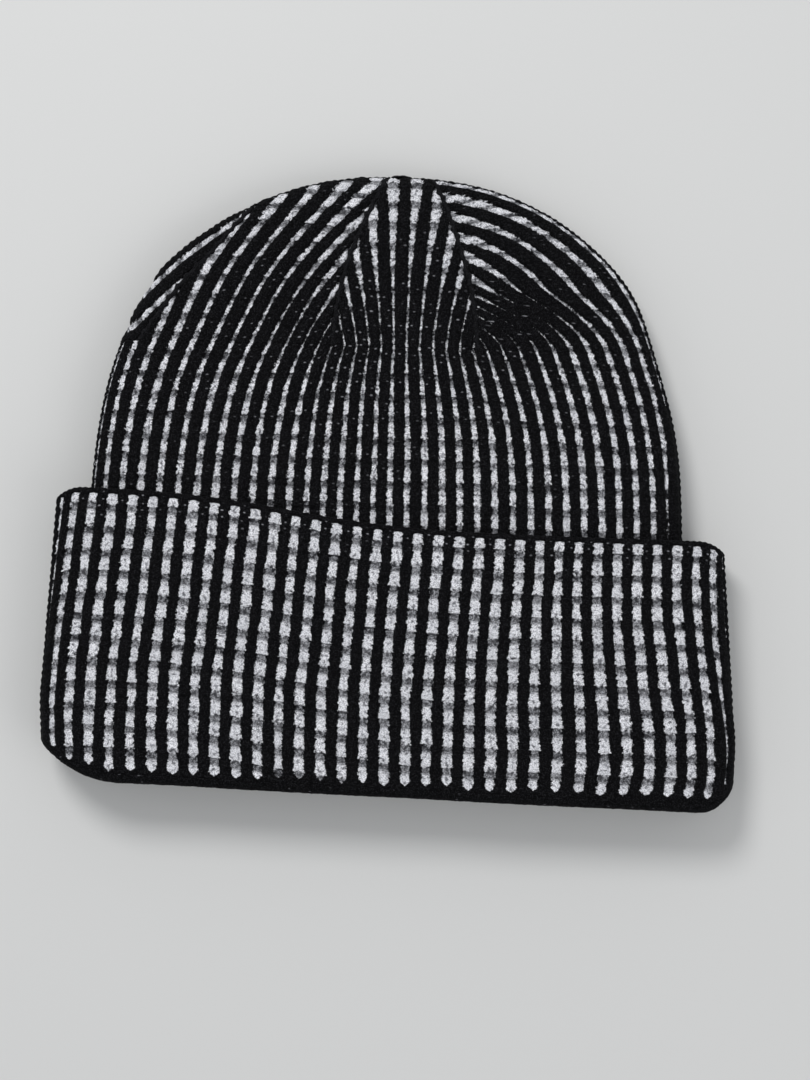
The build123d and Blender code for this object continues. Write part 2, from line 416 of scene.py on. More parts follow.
def uneven_columns(knit, share):
    """The grey share with each column, and each stretch of it, a little wider or narrower."""
    column = np.floor(knit[0]) + 0.5
    chance = hashed(column, 3.0) - 0.5
    swell = ripple(column * 9.0, knit[1] * ROW, 26.0, 3.0)
    return share * (1 + 0.20 * chance + 0.10 * swell)


def fabric_piece(name, grid, knit, share, pitch, fleck=0.2, closed=False, flat=0.0):
    """One layer of rib knit on a grid: a fine outside with its relief, and a coarse inside.

    grid is rows x columns x 3, the height of the rib tops; knit is (rib count, row count) of each point.
    flat says how smooth the knit is. The sides of a grid that isn't closed sink, so no rib ends as a cliff.
    """
    rows, columns = grid.shape[:2]
    normal = normals_of(grid, closed)
    share = uneven_columns(knit, share)
    height = relief(knit, share, pitch) * (1 - flat) + SMOOTH_LEVEL * flat
    across, up = knit[0] * CUFF_PITCH, knit[1] * ROW
    fuzz = 0.10 * ripple(across, up, 1.3, 5.0) + 0.05 * ripple(across, up, 0.7, 2.0)
    level = height - BLACK_RELIEF + fuzz
    if not closed:
        step = np.linalg.norm(np.diff(grid, axis=1), axis=2).mean(axis=1)[:, None]
        from_left = np.arange(columns)[None, :] * step
        from_right = (columns - 1) * step - from_left
        for away in (from_left, from_right):
            level = level - SIDE_SINK * np.exp(-((away / SIDE_SINK_REACH) ** 2))
    outside = grid + normal * level[..., None]
    inner_rows = np.append(np.arange(0, rows - 1, INSIDE_STEP), rows - 1)
    inner_columns = np.arange(0, columns, INSIDE_STEP)
    if not closed:
        inner_columns = np.append(np.arange(0, columns - 1, INSIDE_STEP), columns - 1)
    inner = (grid - normal * FABRIC)[np.ix_(inner_rows, inner_columns)]
    vertices = np.concatenate([outside.reshape(-1, 3), inner.reshape(-1, 3)])
    first = rows * columns
    polygons = [
        quads_of(rows, columns, 0, closed, False),
        quads_of(len(inner_rows), len(inner_columns), first, closed, True),
    ]
    polygons += rim_polygons(rows, columns, inner_rows, inner_columns, first, closed)

    def both(values):
        fine = np.broadcast_to(values, (rows, columns))
        return np.concatenate([fine.ravel(), fine[np.ix_(inner_rows, inner_columns)].ravel()])

    weave = np.stack([both(knit[0]), both(knit[1]), both(share)], axis=-1)
    attributes = {"weave": weave, "pitch": both(pitch), "fleck": both(fleck)}
    return make_mesh(name, vertices, polygons, attributes, rib_knit)


def rim_polygons(rows, columns, inner_rows, inner_columns, first, closed):
    """Faces that close the gap between a fine outside grid and its coarse inside along the open edges."""
    width = len(inner_columns)
    strips = {}

    def add_face(corners):
        strips.setdefault(len(corners), []).append(corners)

    stops = list(inner_columns) + ([columns] if closed else [])
    for k in range(len(stops) - 1):
        fine = [j % columns for j in range(stops[k], stops[k + 1] + 1)]
        here, there = first + k, first + (k + 1) % width
        add_face([*fine[::-1], here, there])
        last = (rows - 1) * columns
        top = (len(inner_rows) - 1) * width
        add_face([*[last + j for j in fine], there + top, here + top])
    if not closed:
        for k in range(len(inner_rows) - 1):
            fine = list(range(inner_rows[k], inner_rows[k + 1] + 1))
            here, there = first + k * width, first + (k + 1) * width
            add_face([*[i * columns for i in fine], there, here])
            side = [i * columns + columns - 1 for i in fine]
            add_face([*side[::-1], here + width - 1, there + width - 1])
    return [np.array(faces) for faces in strips.values()]


def chain(name, paths, width, height, stitch=2.3, sides=6):
    """A row of chain stitches along each path: a flat cord pinched at every stitch.

    Each path is (points, normals), with the points on the fabric's outer surface.
    """
    vertices, polygons, first = [], [], 0
    for points, normals in paths:
        length = np.concatenate([[0], np.cumsum(np.linalg.norm(np.diff(points, axis=0), axis=1))])
        places = np.linspace(0, length[-1], max(int(length[-1] / stitch * 7), 8))
        centre = np.stack([np.interp(places, length, points[:, a]) for a in range(3)], axis=-1)
        up = np.stack([np.interp(places, length, normals[:, a]) for a in range(3)], axis=-1)
        ahead = np.gradient(centre, axis=0)
        ahead /= np.linalg.norm(ahead, axis=1, keepdims=True)
        across = np.cross(ahead, up)
        across /= np.linalg.norm(across, axis=1, keepdims=True)
        up = np.cross(across, ahead)
        phase = places / stitch
        pinch = 0.62 + 0.38 * np.abs(np.sin(pi * phase))
        pinch *= smooth(places, -0.8, 0.6) * smooth(places[-1] - places, -0.8, 0.6) + 0.02
        sway = 0.18 * width * np.sin(pi * phase)
        angle = np.linspace(0, 2 * pi, sides, endpoint=False)[None, :]
        sideways = width / 2 * pinch[:, None] * np.cos(angle) + sway[:, None]
        round_across = sideways[..., None] * across[:, None]
        round_up = (height / 2 * pinch[:, None] * np.sin(angle))[..., None] * up[:, None]
        body = centre[:, None] + round_across + round_up
        count = len(places)
        vertices.append(body.reshape(-1, 3))
        polygons.append(quads_of(count, sides, first, True, True))
        polygons.append(np.array([list(range(first + sides))[-sides:]]))
        polygons.append(np.array([list(range(first + (count - 1) * sides, first + count * sides))[::-1]]))
        first += count * sides
    return make_mesh(name, np.concatenate(vertices), polygons, {}, seam_yarn)


# ---------------------------------------------------------------- materials
FIBRE_SCALE = 2600.0
STRAND_SCALE = 900.0


class Nodes:
    """Short names for building a node tree."""

    def __init__(self, material):
        material.use_nodes = True
        self.tree = material.node_tree
        self.tree.nodes.clear()

    def new(self, kind, **settings):
        node = self.tree.nodes.new(kind)
        for key, value in settings.items():
            setattr(node, key, value)
        return node

    def link(self, source, target):
        self.tree.links.new(source, target)

    def math(self, operation, *inputs):
        node = self.new("ShaderNodeMath", operation=operation)
        for socket, value in zip(node.inputs, inputs):
            if isinstance(value, (int, float)):
                socket.default_value = value
            else:
                self.link(value, socket)
        return node.outputs[0]

    def add(self, a, b):
        return self.math("ADD", a, b)

    def sub(self, a, b):
        return self.math("SUBTRACT", a, b)

    def mul(self, a, b):
        return self.math("MULTIPLY", a, b)

    def centred(self, value, spread):
        """A value from 0 to 1, as one from minus half the spread to plus half of it."""
        return self.mul(self.sub(value, 0.5), spread)

    def distance(self, across, up, unevenness):
        """Distance of (across, up) from 0, with an uneven edge."""
        squares = self.add(self.math("POWER", across, 2.0), self.math("POWER", up, 2.0))
        return self.add(self.math("SQRT", squares), unevenness)

    def between(self, value, low, high):
        """Smooth step from 0 at low to 1 at high."""
        node = self.new("ShaderNodeMapRange", interpolation_type="SMOOTHSTEP")
        self.link(value, node.inputs["Value"])
        node.inputs["From Min"].default_value = low
        node.inputs["From Max"].default_value = high
        return node.outputs["Result"]

    def mix(self, share, a, b):
        node = self.new("ShaderNodeMix", data_type="RGBA")
        for socket, value in zip((node.inputs[0], node.inputs[6], node.inputs[7]), (share, a, b)):
            if isinstance(value, tuple):
                socket.default_value = (*value, 1)
            elif isinstance(value, (int, float)):
                socket.default_value = value
            else:
                self.link(value, socket)
        return node.outputs[2]

    def noise(self, vector, scale, detail):
        node = self.new("ShaderNodeTexNoise", noise_dimensions="3D")
        node.inputs["Scale"].default_value = scale
        node.inputs["Detail"].default_value = detail
        self.link(vector, node.inputs["Vector"])
        return node.outputs["Fac"]

    def attribute(self, name, output="Fac"):
        return self.new("ShaderNodeAttribute", attribute_name=name).outputs[output]

    def random(self, x, y, use=None):
        """A random number from 0 to 1 for each pair of whole numbers; each use draws its own."""
        y = self.add(y, use) if use else y
        cell = self.new("ShaderNodeCombineXYZ")
        self.link(x, cell.inputs[0])
        self.link(y, cell.inputs[1])
        node = self.new("ShaderNodeTexWhiteNoise", noise_dimensions="3D")
        self.link(cell.outputs[0], node.inputs["Vector"])
        return node.outputs["Value"]


def make_rib_knit():
    """Black ribs with grey flecked columns between them, worked out from each point's rib and row."""
    material = bpy.data.materials.new("rib_knit")
    n = Nodes(material)
    weave = n.new("ShaderNodeSeparateXYZ")
    n.link(n.attribute("weave", "Vector"), weave.inputs[0])
    ribs, rows, share = weave.outputs
    pitch = n.attribute("pitch")
    place = n.new("ShaderNodeTexCoord").outputs["Object"]
    fibre = n.noise(place, FIBRE_SCALE, 3.0)
    strand = n.noise(place, STRAND_SCALE, 2.0)

    # Where this point lies in its rib repeat and in its bead
    off_rib = n.math("ABSOLUTE", n.sub(ribs, n.math("ROUND", ribs)))
    off_grey = n.sub(0.5, off_rib)
    column = n.math("FLOOR", ribs)
    row = n.math("FLOOR", rows)
    in_row = n.sub(rows, row)
    bead = n.math("FLOOR", n.math("DIVIDE", rows, ROWS_PER_BEAD))
    chance = n.random(column, row)
    bead_chance = n.random(column, bead, use=500.0)

    # The grey column's jagged edge: each bead widens downwards
    from_bead = n.sub(rows, n.mul(bead, ROWS_PER_BEAD))
    bead_place = n.math("MINIMUM", n.math("DIVIDE", from_bead, LIGHT_ROWS), 1.0)
    flare = n.mul(n.sub(0.5, bead_place), BEAD_FLARE)
    flare = n.add(flare, n.mul(n.sub(0.5, in_row), STITCH_FLARE))
    ragged = n.centred(chance, RAGGED)
    half = n.mul(n.mul(share, 0.5), n.add(1.0, n.add(flare, ragged)))
    inside = n.mul(n.sub(half, off_grey), pitch)
    inside = n.add(inside, n.centred(strand, 1.3))
    inside = n.add(inside, n.centred(fibre, 0.9))
    grey_mask = n.between(inside, -0.14, 0.24)

    # Light beads, the darker row between them, and painted shade in the hollow at the middle of each stitch
    gap_shift = n.centred(bead_chance, 0.45)
    gap_shift = n.add(gap_shift, n.centred(strand, 1.2))
    in_bead = n.add(from_bead, gap_shift)
    gap = n.mul(n.between(in_bead, 1.66, 2.05), n.between(in_bead, 3.2, 2.85))
    gap = n.math("MAXIMUM", gap, n.between(in_bead, 0.2, -0.2))
    gap_chance = n.random(column, bead, use=900.0)
    gap = n.mul(gap, n.add(0.76, n.mul(gap_chance, 0.24)))
    across_mm = n.mul(off_grey, pitch)
    up_mm = n.centred(in_row, ROW)
    # painted shade: a dark spot in the hollow at the middle of each stitch, where the loop sinks in
    from_pit = n.distance(across_mm, up_mm, n.centred(strand, 2.6))
    pit_shade = n.mul(n.between(from_pit, 0.60, 0.15), n.between(chance, 0.35, 0.8))
    mottle = n.between(fibre, 0.36, 0.60)
    light = n.mix(mottle, (0.34, 0.345, 0.37), (0.83, 0.83, 0.86))
    light = n.mix(n.mul(bead_chance, 0.30), light, (0.42, 0.43, 0.46))
    light = n.mix(n.between(strand, 0.34, 0.46), (0.26, 0.265, 0.285), light)
    dark = n.mix(n.between(fibre, 0.40, 0.62), (0.06, 0.062, 0.068), (0.30, 0.305, 0.325))
    dark = n.mix(n.between(strand, 0.40, 0.60), (0.02, 0.02, 0.023), dark)
    grey = n.mix(gap, light, dark)
    # paint the shade of each stitch's hollow over the grey
    grey = n.mix(n.mul(pit_shade, 0.6), grey, (0.05, 0.05, 0.055))

    # Black ribs with a few light flecks where the grey yarn shows through between the stitches
    black = n.mix(n.between(fibre, 0.45, 0.72), (0.0012, 0.0012, 0.0014), (0.017, 0.017, 0.019))
    whole_rib = n.math("ROUND", ribs)
    aside = n.centred(n.random(whole_rib, row, use=170.0), 1.8)
    above = n.centred(n.random(whole_rib, row, use=230.0), 1.2)
    fleck_up = n.centred(in_row, ROW * 1.7)
    fleck_up = n.add(fleck_up, above)
    fleck_across = n.mul(n.sub(ribs, whole_rib), pitch)
    fleck_across = n.add(fleck_across, aside)
    from_fleck = n.distance(fleck_across, fleck_up, n.centred(strand, 1.0))
    rib_chance = n.random(whole_rib, row, use=90.0)
    fleck_chance = n.between(n.add(rib_chance, n.attribute("fleck")), 0.92, 1.45)
    fleck = n.mul(n.between(from_fleck, 0.56, 0.1), fleck_chance)
    black = n.mix(n.mul(fleck, 0.6), black, (0.36, 0.36, 0.39))
    colour = n.mix(grey_mask, black, grey)

    return knitted(material, n, colour, n.add(strand, n.mul(fibre, 0.5)), 0.55, 0.00035)


def make_seam_yarn():
    """The black yarn of the seams and darts."""
    material = bpy.data.materials.new("seam_yarn")
    n = Nodes(material)
    fibre = n.noise(n.new("ShaderNodeTexCoord").outputs["Object"], FIBRE_SCALE, 3.0)
    colour = n.mix(n.between(fibre, 0.35, 0.75), (0.003, 0.003, 0.0035), (0.018, 0.018, 0.02))
    return knitted(material, n, colour, fibre, 0.6, 0.0003)


def knitted(material, n, colour, height, strength, distance):
    """The matt, faintly fuzzy surface of spun yarn, with its fibres as a bump."""
    bump = n.new("ShaderNodeBump")
    bump.inputs["Strength"].default_value = strength
    bump.inputs["Distance"].default_value = distance
    n.link(height, bump.inputs["Height"])
    shader = n.new("ShaderNodeBsdfPrincipled")
    shader.inputs["Roughness"].default_value = 0.92
    shader.inputs["Specular IOR Level"].default_value = 0.05
    shader.inputs["Sheen Weight"].default_value = 0.015
    shader.inputs["Sheen Roughness"].default_value = 0.4
    n.link(colour, shader.inputs["Base Color"])
    n.link(bump.outputs[0], shader.inputs["Normal"])
    n.link(shader.outputs[0], n.new("ShaderNodeOutputMaterial").inputs[0])
    return material


rib_knit = make_rib_knit()
seam_yarn = make_seam_yarn()


# ---------------------------------------------------------------- cuff
CUFF_EDGE_MEAN = -9.2
CUFF_EDGE_SWING = 5.8
CUFF_EDGE_TURN = -31.5  # the free edge falls from left to right about this x
CUFF_EDGE_LENGTH = 38.0
CUFF_HALF_THICK = CUFF_THICK / 2 - 0.5
CUFF_POWER = 13.0  # how tightly the flattened cuff turns over at its sides
CUFF_TWIST = 0.91  # ribs that the cuff's columns lean in a full height of the cuff
CUFF_UPRIGHT = 0.4  # share of the cuff's height, from the rim, in which they do not lean
CUFF_SHARE = 0.445  # share of each rib repeat that is grey
CUFF_ROWS = 132  # rows of the cuff's grid
EDGE_ROW = 59.0  # knitted rows up to the free edge, so that two light rows lie right under it
EDGE_INSET = 1.0  # the flat part stops this far under the free edge, and the welt rolls over it
WELT_DEPTH = 4.0
ROLL_RADIUS = 1.5
FOLD_RADIUS = 3.3
FOLD_TURNS = np.linspace(0, pi, 22)  # angles of the rim fold's rows
BAND_SHARE = 0.4
BAND_ROWS = 96
BAND_DEPTH = 83.0
SMOOTHED = 0.8  # how smooth the knit is where it is folded

ribs_round = np.arange(RIBS * SAMPLES) / SAMPLES - HALF_RIBS


def cuff_edge_y(x):
    """The free edge: the cuff was turned up by hand, higher on the left than on the right."""
    corner = 3.0 * np.clip((np.abs(x) - (CUFF_TOP_HALF - 9)) / 9, 0, 1.2) ** 2
    return CUFF_EDGE_MEAN - CUFF_EDGE_SWING * np.tanh((x - CUFF_EDGE_TURN) / CUFF_EDGE_LENGTH) - corner


def rim_line_y(x):
    """The folded rim: lower towards the right, with a wide round corner left and a tight one right."""
    corner_radius = 12.0
    left = 6.2 * np.clip((-x - 85) / 21, 0, 1.4) ** 2
    right = corner_radius - np.sqrt(corner_radius**2 - np.clip(x - 101, 0, corner_radius - 0.1) ** 2)
    return RIM_Y + 2.7 - 0.019 * x + left + right


def cuff_half_width(y):
    """The cuff widens towards the rim and draws in again just above it."""
    widening = (CUFF_RIM_HALF - CUFF_TOP_HALF) * (CUFF_EDGE_MEAN - y) / (CUFF_EDGE_MEAN - RIM_Y)
    return CUFF_TOP_HALF + widening - 1.8 * smooth(RIM_Y + 24 - y, 0, 24)


def cuff_lean(share, ribs):
    """How far the columns have slid round the hat, in ribs: those at the right bulge out above the rim."""
    bulge = 0.84 * smooth(1 - share, 0.15, 0.75) - 0.3 - 0.2 * smooth(1 - share, 0.85, 1.0)
    at_right = smooth(ribs, 4, 13) * (1 - smooth(ribs, 19, 27))
    return 0.38 + CUFF_TWIST * max(share - CUFF_UPRIGHT, 0) + bulge * at_right


def grey_left_by(x):
    """How much of the grey columns shows: most of it closes up where the flat cuff turns over its sides."""
    return 1 - 0.8 * smooth(np.abs(x), 105, 111)


def cuff_section(half_width, count=2401):
    """Dense points round the flattened cuff, from the back's middle round the left to the front."""
    angle = np.linspace(-pi, pi, count)
    across = np.sign(np.sin(angle)) * np.abs(np.sin(angle)) ** (2 / CUFF_POWER)
    return half_width * across, CUFF_HALF_THICK * np.cos(angle)


def cuff_grid(shares):
    """The turned-up layer: a column for each place across a rib, a row for each share of its height."""
    grid = np.empty((len(shares), len(ribs_round), 3))
    for i, share in enumerate(shares):
        offset = ribs_round + cuff_lean(share, ribs_round)
        y = np.zeros(len(ribs_round))
        for _ in range(2):
            x, z = cuff_section(cuff_half_width(y.mean()))
            length = np.concatenate([[0], np.cumsum(np.hypot(np.diff(x), np.diff(z)))])
            places = np.mod(offset / RIBS + 0.5, 1.0) * length[-1]
            at_x = np.interp(places, length, x)
            y = rim_line_y(at_x) + (cuff_edge_y(at_x) - rim_line_y(at_x)) * share
        grid[i, :, 0] = at_x + CUFF_RIM_SHIFT * (1 - share)
        grid[i, :, 1] = y
        grid[i, :, 2] = CUFF_THICK / 2 + np.interp(places, length, z)
    return grid


def rolled(start, normal, ahead, radius, turns):
    """Rows of points that go on from a row, turning over towards its inside."""
    return np.array([start - normal * radius * (1 - cos(t)) + ahead * radius * sin(t) for t in turns])


def unit(vectors):
    return vectors / np.linalg.norm(vectors, axis=1, keepdims=True)


def make_cuff():
    """The turned-up layer, its welt, the rim's fold and the band inside, from one run of fabric."""
    depth = cuff_edge_y(0) - RIM_Y
    shares = np.linspace(FOLD_RADIUS / depth, 1 - EDGE_INSET / depth, CUFF_ROWS + 1)
    outer = cuff_grid(shares)
    x, y = outer[..., 0], outer[..., 1]
    ribs = np.broadcast_to(ribs_round, x.shape)
    rows = EDGE_ROW - (cuff_edge_y(x) - y) / ROW + 0.15 * ripple(x, y, 30.0, 2.2)
    # Slight wander of the columns and of the surface, as hand-folded knit has
    knit = (ribs + 0.05 * ripple(x, y, 45.0, 1.3), rows)
    outer[..., 2] += np.sign(outer[..., 2] - CUFF_THICK / 2) * 0.3 * ripple(x, y, 60.0, 4.2)
    split = int(np.searchsorted(shares, 1 - WELT_DEPTH / depth))
    pieces = {
        "cuff_turn_up": make_turn_up(outer[: split + 1], (knit[0][: split + 1], knit[1][: split + 1])),
        "cuff_edge_welt": make_welt(outer, (knit[0][split:], knit[1][split:])),
    }
    fold = make_fold_grid(outer)
    fold_rows = rows[0] - (FOLD_RADIUS * FOLD_TURNS / ROW)[:, None]
    pieces["cuff_rim_fold"] = make_rim(fold, fold_rows)
    band = make_band_grid(fold[-1])
    pieces["inner_band"] = make_band(band, fold_rows[-1])
    return pieces, outer, band


def make_turn_up(grid, knit):
    """The part of the cuff that shows. Where it starts to fold under at the rim its grey columns close up to
    black: partly the knit closing, partly painted shade of the rounding under.
    """
    x, y = grid[..., 0], grid[..., 1]
    column = np.floor(np.broadcast_to(ribs_round, x.shape)) + 0.5
    # painted shade: the grey turns black over the last few mm above the rim, where the cuff rounds under
    above_rim = y - rim_line_y(x) - 1.2 * hashed(column, 2.0)
    folded_and_shaded = 1 - smooth(above_rim, 3.0, 5.2)
    share = CUFF_SHARE * grey_left_by(x) * (1 - folded_and_shaded) + CLOSED_SHARE * folded_and_shaded
    flecks = 0.9 * np.exp(-(((cuff_edge_y(x) - y) / 7.0) ** 2))
    flat = SMOOTHED * folded_and_shaded
    return fabric_piece("cuff_turn_up", grid, knit, share, CUFF_PITCH, flecks, closed=True, flat=flat)


def make_welt(outer, knit):
    """The last rows of the cuff and the black edge, which rolls over to the inside."""
    turns = np.linspace(0, pi * 0.9, 9)[1:]
    upward = unit(outer[-1] - outer[-6])
    roll = rolled(outer[-1], normals_of(outer, True)[-1], upward, ROLL_RADIUS, turns)
    grid = np.concatenate([outer[-len(knit[0]):], roll])
    below = cuff_edge_y(grid[..., 0]) - grid[..., 1]
    last = len(knit[0]) - 1
    below[last + 1:] = below[last] - np.arange(1, len(turns) + 1)[:, None] * 0.5
    roll_ribs = np.broadcast_to(ribs_round, roll.shape[:2])
    ribs = np.concatenate([knit[0], roll_ribs])
    rows = np.concatenate([knit[1], EDGE_ROW - below[last + 1:] / ROW])

    flat = smooth(-below, -1.25, -0.95)
    open_share = uneven_columns((ribs, rows), CUFF_SHARE * grey_left_by(grid[..., 0]))
    share = np.where(flat > 0.5, 4 * CLOSED_SHARE, open_share)
    height = relief((ribs, rows), share, CUFF_PITCH) * (1 - flat) + SMOOTH_LEVEL * flat
    stitch = 0.12 * np.cos(2 * pi * ribs * 3) * flat
    outside = grid + normals_of(grid, True) * (height + stitch - BLACK_RELIEF)[..., None]
    weave = np.stack([ribs.ravel(), rows.ravel(), share.ravel()], -1)
    attributes = {"weave": weave, "pitch": np.full(ribs.size, CUFF_PITCH), "fleck": 0.9 * (1 - flat).ravel()}
    polygons = [quads_of(*ribs.shape, 0, True, False)]
    return make_mesh("cuff_edge_welt", outside.reshape(-1, 3), polygons, attributes, rib_knit)


def make_fold_grid(outer):
    """The rim, from the outside round to the cavity side."""
    return rolled(outer[0], normals_of(outer, True)[0], unit(outer[0] - outer[5]), FOLD_RADIUS, FOLD_TURNS)


def make_rim(fold, rows):
    """The rim's fold: black and smooth outside, partly painted shade of the rounding under, open to grey
    columns again on the cavity side.
    """
    opened = smooth(FOLD_TURNS, 2.2, 3.1)[::-1, None] + 0 * ribs_round
    knit = (np.broadcast_to(ribs_round, rows.shape), rows[::-1])
    # painted shade: the outside of the fold is closed up to black
    share = CLOSED_SHARE + (CUFF_SHARE - CLOSED_SHARE) * opened
    flat = SMOOTHED * (1 - opened)
    return fabric_piece("cuff_rim_fold", fold[::-1], knit, share, CUFF_PITCH, closed=True, flat=flat)


def make_band_grid(start):
    """The cavity side of the layer that the cuff is folded over, from the body down to the rim's fold."""
    ring_points, _ = ring(np.array([HINGE_Y - BODY_BASE_Y]))
    length = along(ring_points)
    places = (ribs_round / RIBS + 0.5)[None, :] * length[:, -1:]
    end = resampled(ring_points, length, places)[0]
    end_normal = normals_of(np.stack([end - [0, 0.5, 0], end, end + [0, 0.5, 0]]), True)[1]
    end = end - end_normal * FABRIC
    shares = np.linspace(0, 1, BAND_ROWS + 1)[:, None, None]
    return (start[None] * (1 - shares) + end[None] * shares)[::-1]


def make_band(band, first_rows):
    rows = (first_rows - np.linspace(0, 1, BAND_ROWS + 1)[:, None] * BAND_DEPTH / ROW)[::-1]
    knit = (np.broadcast_to(ribs_round, rows.shape), rows)
    share = np.broadcast_to(BAND_SHARE, rows.shape)
    return fabric_piece("inner_band", band, knit, share, CUFF_PITCH, closed=True)


# ---------------------------------------------------------------- body
def leaned(points):
    """The body as it lies: leaning a little to the left, and fuller where the crown rounds over."""
    y = points[..., 1]
    lean = 1.6 * (1 - smooth(y, 68, 102)) + 0.9 * np.exp(-(((y - 42) / 22) ** 2))
    lean = lean * smooth(y, -60, 0)
    fuller = 0.034 * np.exp(-(((y - 70) / 17) ** 2)) - 0.009 * smooth(y, -60, 0)
    moved = np.array(points)
    moved[..., 0] = points[..., 0] * (1 + fuller) - lean
    return moved


def to_back(points):
    """The front face turned half a turn about the hat's length."""
    turned = np.array(points)
    level = middle_level(points[..., 1])
    turned[..., 0] = -points[..., 0]
    turned[..., 2] = 2 * level - points[..., 2]
    return turned


def make_tube():
    """The body from the cuff up to the darts, with one grid column for each place across a rib."""
    heights = np.linspace(HINGE_Y - BODY_BASE_Y, BASE_H, 105)
    points, angle = ring(heights)
    x, y = points[..., 0], points[..., 1]
    back = np.abs(angle) > pi / 2
    face_x = np.where(back, -x, x)
    h = y - BODY_BASE_Y
    ribs, length = side_ribs(shifted(face_x, y), h)
    ribs = np.where(back, np.where(x < 0, ribs - HALF_RIBS, ribs + HALF_RIBS), ribs)
    order = np.maximum.accumulate(ribs, axis=1)
    wanted = np.broadcast_to(ribs_round, (len(heights), len(ribs_round)))
    grid = resampled(points, order, wanted)
    rows = np.array([np.interp(ribs_round, order[i], length[i]) for i in range(len(heights))]) / ROW
    on_front = (wanted > -FOLD_LEFT) & (wanted < FOLD_RIGHT)
    share = grey_share(np.where(on_front, grid[..., 0], -grid[..., 0]), grid[..., 1])
    gap = np.linalg.norm(np.roll(grid, -1, axis=1) - np.roll(grid, 1, axis=1), axis=2) * SAMPLES / 2
    rows = rows + 0.25 * ripple(grid[..., 0], grid[..., 1], 34.0, 6.0)
    flecks = fleck_strength(grid[..., 0], grid[..., 1])
    grid = leaned(grid)
    return fabric_piece("body_tube", grid, (wanted, rows), share, gap, flecks, closed=True), grid


def gore_grid(heights, left, right, columns):
    """Grid of a gore: at each height, evenly spaced points between two angles round the section."""
    points, angle = ring(heights)
    length = along(points)
    ends = zip(left, right, angle, length)
    low, high = np.array([np.interp([a, b], angles, places) for a, b, angles, places in ends]).T
    wanted = low[:, None] + (high - low)[:, None] * np.linspace(0, 1, columns)[None, :]
    angles = np.array([np.interp(wanted[i], length[i], angle[i]) for i in range(len(heights))])
    return resampled(points, length, wanted), angles


def crown_heights(count, top=pi / 2):
    """Heights that crowd towards the top, where the crown turns over."""
    start = asin((BASE_H / CROWN_RISE) ** (CROWN_POWER / 2))
    return CROWN_RISE * np.sin(np.linspace(start, top, count)) ** (2 / CROWN_POWER)


def angle_at(x, h):
    """Angle round the section of a point at x on the front face, at the silhouette if it is outside."""
    return np.arcsin(np.clip(x / outline_half(h, 1e-9), -1, 1))


def gore_height_where(edge_x, side):
    """Height where a dart meets the silhouette."""
    h = np.linspace(BASE_H, CROWN_RISE - 0.02, 4000)
    met = outline_half(h) <= side * edge_x(h + BODY_BASE_Y)
    return h[np.argmax(met)] if met.any() else h[-1]


def heights_up_to(edge_x, side, count):
    """Heights of a gore's rows, from the darts' feet to where its dart meets the silhouette."""
    top = gore_height_where(edge_x, side)
    return crown_heights(count, asin((top / CROWN_RISE) ** (CROWN_POWER / 2)))


def knit_piece(name, grid, knit, share, on_back):
    """A gore of one face, or its twin on the back."""
    step = np.linalg.norm(np.gradient(grid, axis=1), axis=2)
    per_step = np.abs(np.gradient(knit[0], axis=1))
    down = np.linalg.norm(np.gradient(grid, axis=0), axis=2)
    per_down = np.abs(np.gradient(knit[0], axis=0))
    density = np.hypot(per_step / np.maximum(step, 1e-3), per_down / np.maximum(down, 1e-3))
    pitch = np.clip(1 / np.maximum(density, 1e-3), 3.0, 9.0)
    if on_back:
        grid = to_back(grid)
        knit = (knit[0] + HALF_RIBS, knit[1])
    flecks = fleck_strength(grid[..., 0], grid[..., 1])
    grid = leaned(grid)
    return fabric_piece(name, grid, knit, share, pitch, flecks)


def middle_gore(name, low_x, high_x, on_back=False):
    """The gore between the two middle darts, or the part of it between two lines."""
    h = crown_heights(150)
    y = h + BODY_BASE_Y
    left = angle_at(low_x(y), h)
    right = angle_at(high_x(y), h)
    grid, _ = gore_grid(h, left, right, 96)
    ribs, length = middle_gore_ribs(grid[..., 0], grid[..., 1])
    x, y = grid[..., 0], grid[..., 1]
    beside = by_dart(x, y, left_dart_x(y)) + by_dart(x, y, right_dart_x(y))
    share = np.minimum(grey_share(x, y) + 0.2 * beside, WIDEST_SHARE)
    return knit_piece(name, grid, (ribs, length / ROW), share, on_back)


def left_gore(name, on_back=False):
    """The gore from the left fold's dart to the middle."""
    h = heights_up_to(left_dart_x, -1, 150)
    y = h + BODY_BASE_Y
    left = np.where(y < 91, angle_at(side_dart_x(y), h), -pi / 2)
    right = angle_at(left_dart_x(y), h)
    grid, _ = gore_grid(h, left, right, 150)
    ribs, length = left_gore_ribs(grid[..., 0], grid[..., 1])
    x, y = grid[..., 0], grid[..., 1]
    beside = by_dart(x, y, left_dart_x(y)) + 0.5 * by_dart(x, y, side_dart_x(y))
    share = np.minimum(grey_share(x, y) + 0.26 * beside, WIDEST_SHARE)
    return knit_piece(name, grid, (ribs, length / ROW), share, on_back)


